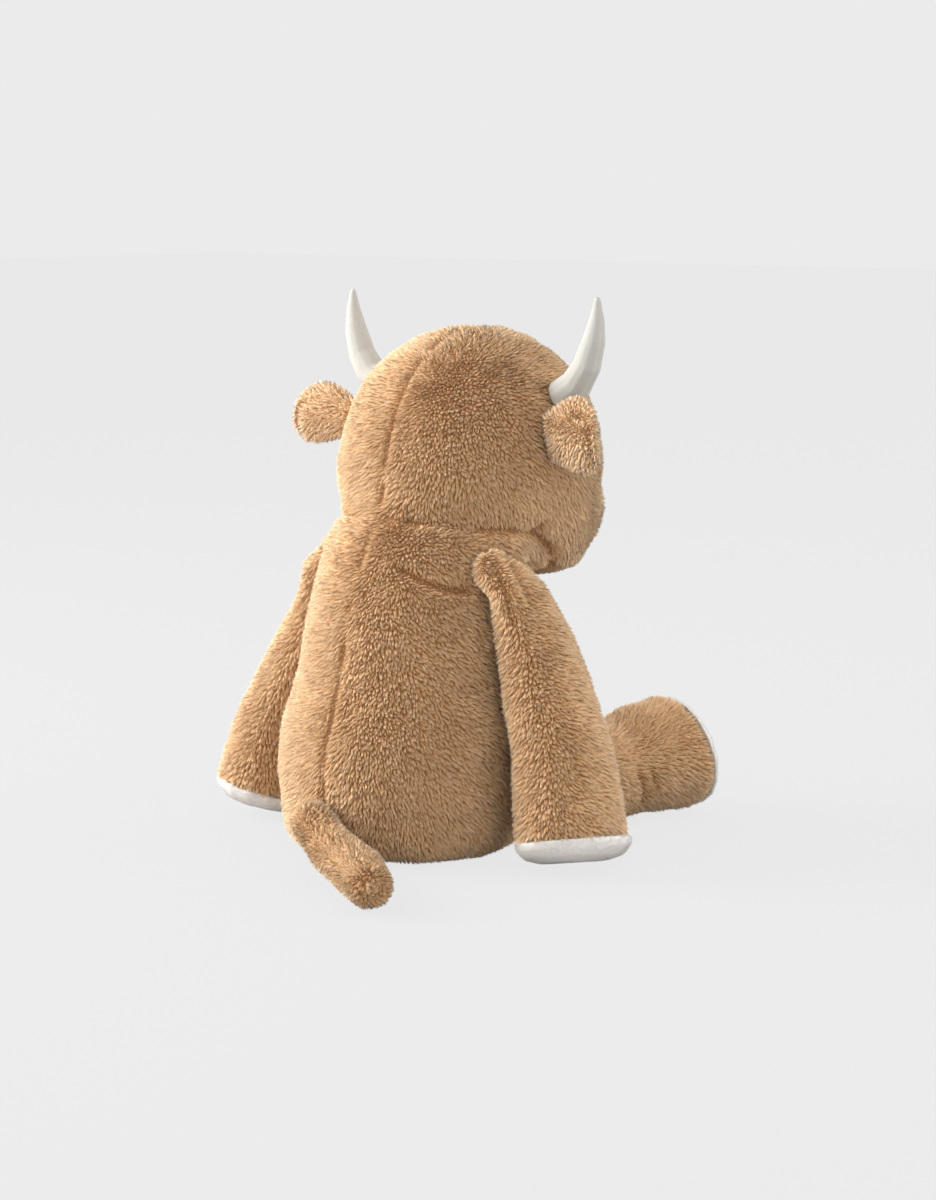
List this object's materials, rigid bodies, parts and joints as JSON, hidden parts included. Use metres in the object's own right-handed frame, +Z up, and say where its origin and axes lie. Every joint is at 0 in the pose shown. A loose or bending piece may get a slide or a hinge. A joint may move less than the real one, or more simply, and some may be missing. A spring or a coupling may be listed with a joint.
{
  "type": "seated plush cow",
  "caption": "Seated plush cow with tan fur, padded pale hooves and soles, ivory horns, floppy ears and a round-tipped tail; head, ears, limbs and tail move.",
  "frame": {"origin": "middle of the seat, on the floor", "axes": "+Z up; the cow faces -Y; its own left side is +X"},
  "size_m": [0.3768, 0.4352, 0.4097],
  "materials": {
    "tan_fur": "long clumped plush fur, brushed downwards",
    "white_plush": "short pale plush",
    "ivory_cloth": "short ivory nap with a seam along its length",
    "stuffing_white": "loose polyester fibre",
    "pellet_cloth": "plain woven bag of pellets",
    "eye_black": "polished black moulding",
    "washer_white": "plain moulded plastic"
  },
  "bodies": {
    "torso": {"back_cover_left": "tan_fur", "back_cover_right": "tan_fur", "belly_cover": "tan_fur", "seat_cover": "tan_fur", "torso_stuffing": "stuffing_white", "pellet_bag": "pellet_cloth"},
    "neck": {"neck_stuffing": "stuffing_white"},
    "head": {"head_back_left": "tan_fur", "head_back_right": "tan_fur", "face_cover": "tan_fur", "head_stuffing": "stuffing_white", "nose_pad": "white_plush", "eye_left": "eye_black", "eye_right": "eye_black", "eye_washer_left": "washer_white", "eye_washer_right": "washer_white", "horn_cover_left": "ivory_cloth", "horn_cover_right": "ivory_cloth", "horn_stuffing_left": "stuffing_white", "horn_stuffing_right": "stuffing_white"},
    "ear_left": {"ear_back_left": "tan_fur", "ear_lining_left": "tan_fur"},
    "ear_right": {"ear_back_right": "tan_fur", "ear_lining_right": "tan_fur"},
    "arm_left": {"arm_cover_left": "tan_fur", "hoof_pad_left": "white_plush", "arm_stuffing_left": "stuffing_white"},
    "arm_right": {"arm_cover_right": "tan_fur", "hoof_pad_right": "white_plush", "arm_stuffing_right": "stuffing_white"},
    "leg_left": {"leg_cover_left": "tan_fur", "sole_pad_left": "white_plush", "leg_stuffing_left": "stuffing_white"},
    "leg_right": {"leg_cover_right": "tan_fur", "sole_pad_right": "white_plush", "leg_stuffing_right": "stuffing_white"},
    "tail": {"tail_cover": "tan_fur", "tail_stuffing": "stuffing_white"}
  },
  "joints": [
    {"name": "head_turn", "type": "hinge", "parent": "torso", "child": "neck", "pos_m": [0, -0.046, 0.29], "axis": [0, 0, 1], "range_deg": [-20, 20], "stiffness_Nm_per_rad": 0.6},
    {"name": "head_nod", "type": "hinge", "parent": "neck", "child": "head", "pos_m": [0, -0.046, 0.29], "axis": [1, 0, 0], "range_deg": [-8, 6], "stiffness_Nm_per_rad": 6, "springref_deg": -1.15},
    {"name": "ear_swing_left", "type": "hinge", "parent": "head", "child": "ear_left", "pos_m": [0.09995, -0.05101, 0.31199], "axis": [-0.234, -0.066, 0.97], "range_deg": [-20, 20], "stiffness_Nm_per_rad": 0.05},
    {"name": "ear_swing_right", "type": "hinge", "parent": "head", "child": "ear_right", "pos_m": [-0.09995, -0.05101, 0.31199], "axis": [0.234, -0.066, 0.97], "range_deg": [-20, 20], "stiffness_Nm_per_rad": 0.05},
    {"name": "arm_swing_left", "type": "hinge", "parent": "torso", "child": "arm_left", "pos_m": [0.08487, -0.002, 0.214], "axis": [-0.9813, -0.1202, -0.1502], "range_deg": [-15, 45]},
    {"name": "arm_swing_right", "type": "hinge", "parent": "torso", "child": "arm_right", "pos_m": [-0.08487, -0.002, 0.214], "axis": [-0.9813, 0.1202, 0.1502], "range_deg": [-15, 45]},
    {"name": "leg_lift_left", "type": "hinge", "parent": "torso", "child": "leg_left", "pos_m": [0.05793, -0.10606, 0.045], "axis": [1, 0, 0], "range_deg": [-45, 20]},
    {"name": "leg_lift_right", "type": "hinge", "parent": "torso", "child": "leg_right", "pos_m": [-0.05793, -0.10606, 0.045], "axis": [1, 0, 0], "range_deg": [-45, 20]},
    {"name": "tail_lift", "type": "hinge", "parent": "torso", "child": "tail", "pos_m": [-0.003, 0.1054, 0.034], "axis": [1, 0, 0], "range_deg": [0, 40]}
  ]
}
